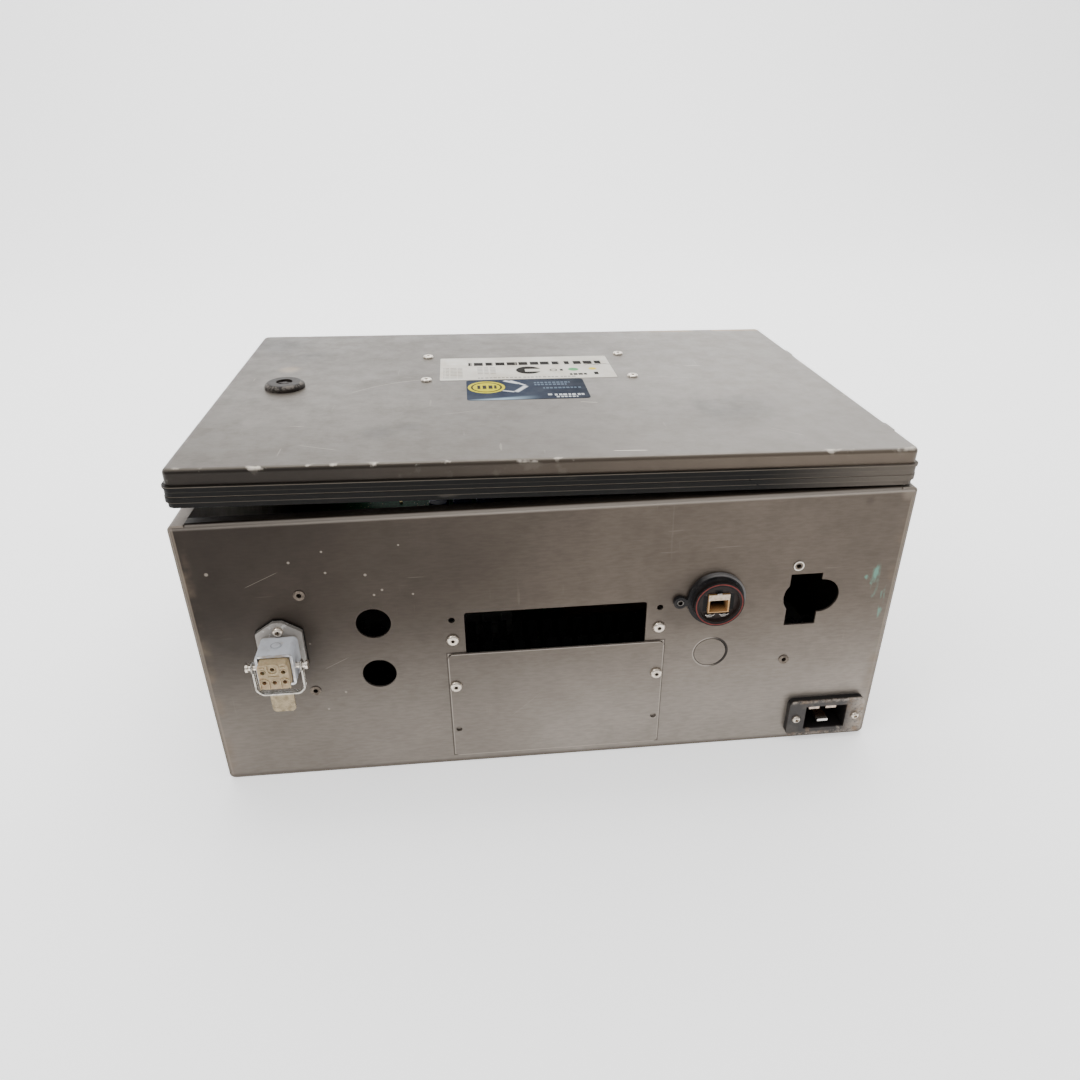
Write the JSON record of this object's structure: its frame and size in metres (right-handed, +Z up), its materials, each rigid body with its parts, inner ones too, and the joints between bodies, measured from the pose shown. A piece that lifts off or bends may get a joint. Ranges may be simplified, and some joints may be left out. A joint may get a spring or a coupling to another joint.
{
  "type": "robot controller cabinet",
  "caption": "Folded steel controller cabinet lying on its back, with a sealed hinged door, quarter-turn lock, cable openings, connector, network port and mains inlet.",
  "frame": {"origin": "centre of the back panel's outer face, on which the cabinet lies", "axes": "+Z up through the door, -Y out of the connector panel, +X towards the hinges"},
  "size_m": [0.4832, 0.3454, 0.2471],
  "materials": {
    "shell_steel": "worn satin",
    "door_steel": "worn satin",
    "bright_steel": "bright",
    "lever_steel": "satin",
    "rubber_black": "matte",
    "label_paper": "satin",
    "card_blue": "gloss",
    "lock_black": "satin",
    "cast_grey": "satin powder coat",
    "insert_beige": "matte",
    "contact_brass": "satin",
    "port_black": "matte",
    "ring_red": "matte",
    "jack_shell": "satin",
    "inlet_black": "matte",
    "plate_zinc": "satin",
    "finned_alloy": "matte",
    "duct_dark": "matte",
    "board_green": "satin",
    "post_brass": "satin",
    "terminal_plastic": "satin",
    "relay_plastic": "gloss",
    "capacitor_sleeve": "gloss",
    "fan_plastic": "matte",
    "lead_black": "matte",
    "lead_grey": "matte"
  },
  "bodies": {
    "cabinet": {"case_wrap": "shell_steel", "connector_panel": "shell_steel", "rear_panel": "shell_steel", "cover_plate": "shell_steel", "panel_screws": "bright_steel", "captive_nuts": "bright_steel", "rivet_nuts": "bright_steel", "hinge_wall_leaves": "door_steel", "hinge_pins": "bright_steel", "plug_gasket": "rubber_black", "plug_base": "cast_grey", "plug_insert": "insert_beige", "plug_contacts": "contact_brass", "plug_screws": "bright_steel", "plug_pegs": "bright_steel", "network_housing": "port_black", "network_ring": "ring_red", "network_jack": "jack_shell", "network_nut": "port_black", "inlet_body": "inlet_black", "inlet_blades": "contact_brass", "inlet_screws": "bright_steel", "mounting_plate": "plate_zinc", "plate_studs": "bright_steel", "plate_nuts": "bright_steel", "earth_stud": "contact_brass", "robot_supply_left": "plate_zinc", "robot_supply_right": "plate_zinc", "low_voltage_supply": "plate_zinc", "brake_resistor": "finned_alloy", "line_filter": "plate_zinc", "wire_duct": "duct_dark", "board_posts": "post_brass", "computer_board": "board_green", "port_block": "jack_shell", "memory_module": "board_green", "processor_heat_sink": "finned_alloy", "processor_fan_frame": "fan_plastic", "control_board": "board_green", "terminal_blocks": "terminal_plastic", "safety_relays": "relay_plastic", "capacitors": "capacitor_sleeve", "case_fan_frame": "fan_plastic", "inlet_leads": "lead_black", "network_lead": "lead_grey", "connector_harness": "lead_black"},
    "door": {"door_pan": "door_steel", "door_seal": "rubber_black", "door_rivets": "bright_steel", "type_label": "label_paper", "service_sticker": "card_blue", "lock_housing": "lock_black", "lock_nut": "lock_black", "hinge_door_leaves": "door_steel"},
    "lock_core": {"lock_barrel": "lock_black", "lock_cam": "lock_black", "lock_cam_screw": "bright_steel"},
    "lever": {"locking_lever": "lever_steel"},
    "processor_rotor": {"processor_fan_rotor": "fan_plastic"},
    "case_rotor": {"case_fan_rotor": "fan_plastic"}
  },
  "joints": [
    {"name": "door_hinge", "type": "hinge", "parent": "cabinet", "child": "door", "pos_m": [0.2415, 0, 0.216], "axis": [0, 1, 0], "range_deg": [-1.24, 112]},
    {"name": "lock_turn", "type": "hinge", "parent": "door", "child": "lock_core", "pos_m": [-0.18853, 0, 0.24231], "axis": [0.0216, 0, 0.9998], "range_deg": [0, 90]},
    {"name": "lever_swing", "type": "hinge", "parent": "cabinet", "child": "lever", "pos_m": [-0.1826, -0.17675, 0.1123], "axis": [-1, 0, 0], "range_deg": [0, 100]},
    {"name": "processor_fan_spin", "type": "hinge", "parent": "cabinet", "child": "processor_rotor", "pos_m": [0.077, 0.039, 0.058], "axis": [0, 0, 1], "continuous": true},
    {"name": "case_fan_spin", "type": "hinge", "parent": "cabinet", "child": "case_rotor", "pos_m": [0.12, 0.1425, 0.111], "axis": [0, 1, 0], "continuous": true}
  ]
}
